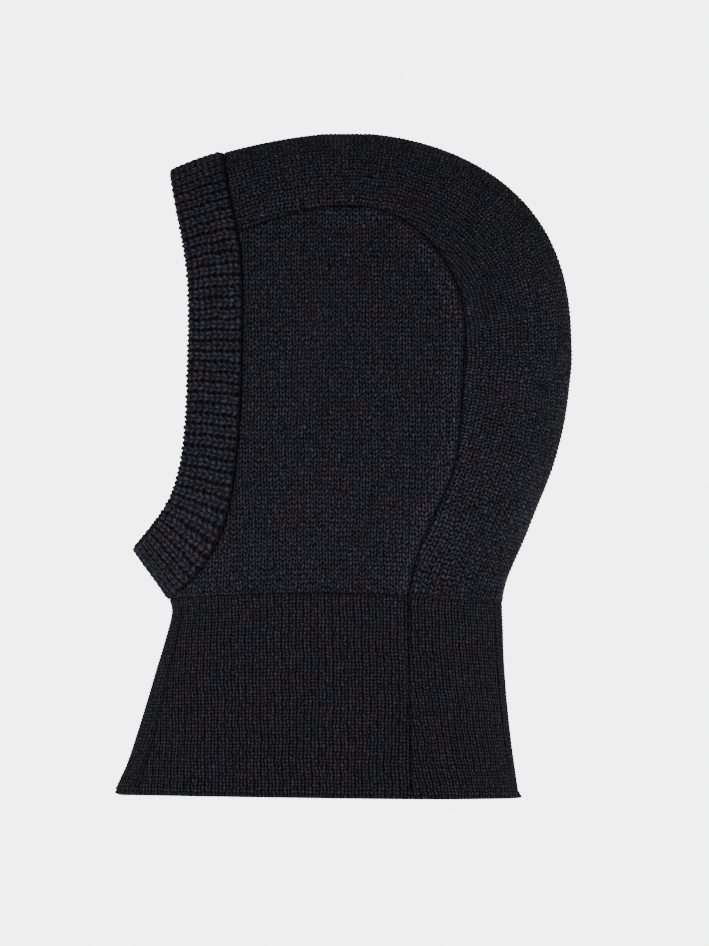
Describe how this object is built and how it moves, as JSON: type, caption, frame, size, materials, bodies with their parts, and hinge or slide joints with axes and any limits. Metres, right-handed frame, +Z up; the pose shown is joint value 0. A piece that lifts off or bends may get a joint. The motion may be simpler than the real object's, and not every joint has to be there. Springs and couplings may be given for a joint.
{
  "type": "balaclava",
  "caption": "Knitted wool hood covering head and neck: plain-knit sides and crown gusset, folded rib face trim, ribbed neck flaring to a bound-off hem.",
  "frame": {"origin": "centre of the bounding box's base, on the plane of the neck hem", "axes": "+Z up from the hem to the crown, the face opening looks toward -Y, +X is the wearer's left"},
  "size_m": [0.131, 0.2739, 0.4],
  "materials": {
    "side_knit": "navy-black wool yarn, matt, softly hairy, plain knit with upright wales",
    "crown_knit": "navy-black wool yarn, matt, softly hairy, plain knit with wales along the crown",
    "trim_rib": "navy-black wool yarn, matt, softly hairy, one by one rib folded double",
    "neck_rib": "navy-black wool yarn, matt, softly hairy, fine one by one rib",
    "linking_yarn": "the same yarn, chained through the panel edges"
  },
  "bodies": {
    "root": {"side_panel_left": "side_knit", "side_panel_right": "side_knit", "crown_gusset": "crown_knit", "face_trim": "trim_rib", "neck_side_left": "neck_rib", "neck_side_right": "neck_rib", "neck_back": "neck_rib", "gusset_seam_left": "linking_yarn", "gusset_seam_right": "linking_yarn", "neck_seam_left": "linking_yarn", "neck_seam_right": "linking_yarn", "neck_seam_back": "linking_yarn", "face_seam": "linking_yarn", "chin_seam": "linking_yarn", "neck_front_seam": "linking_yarn"}
  },
  "joints": []
}
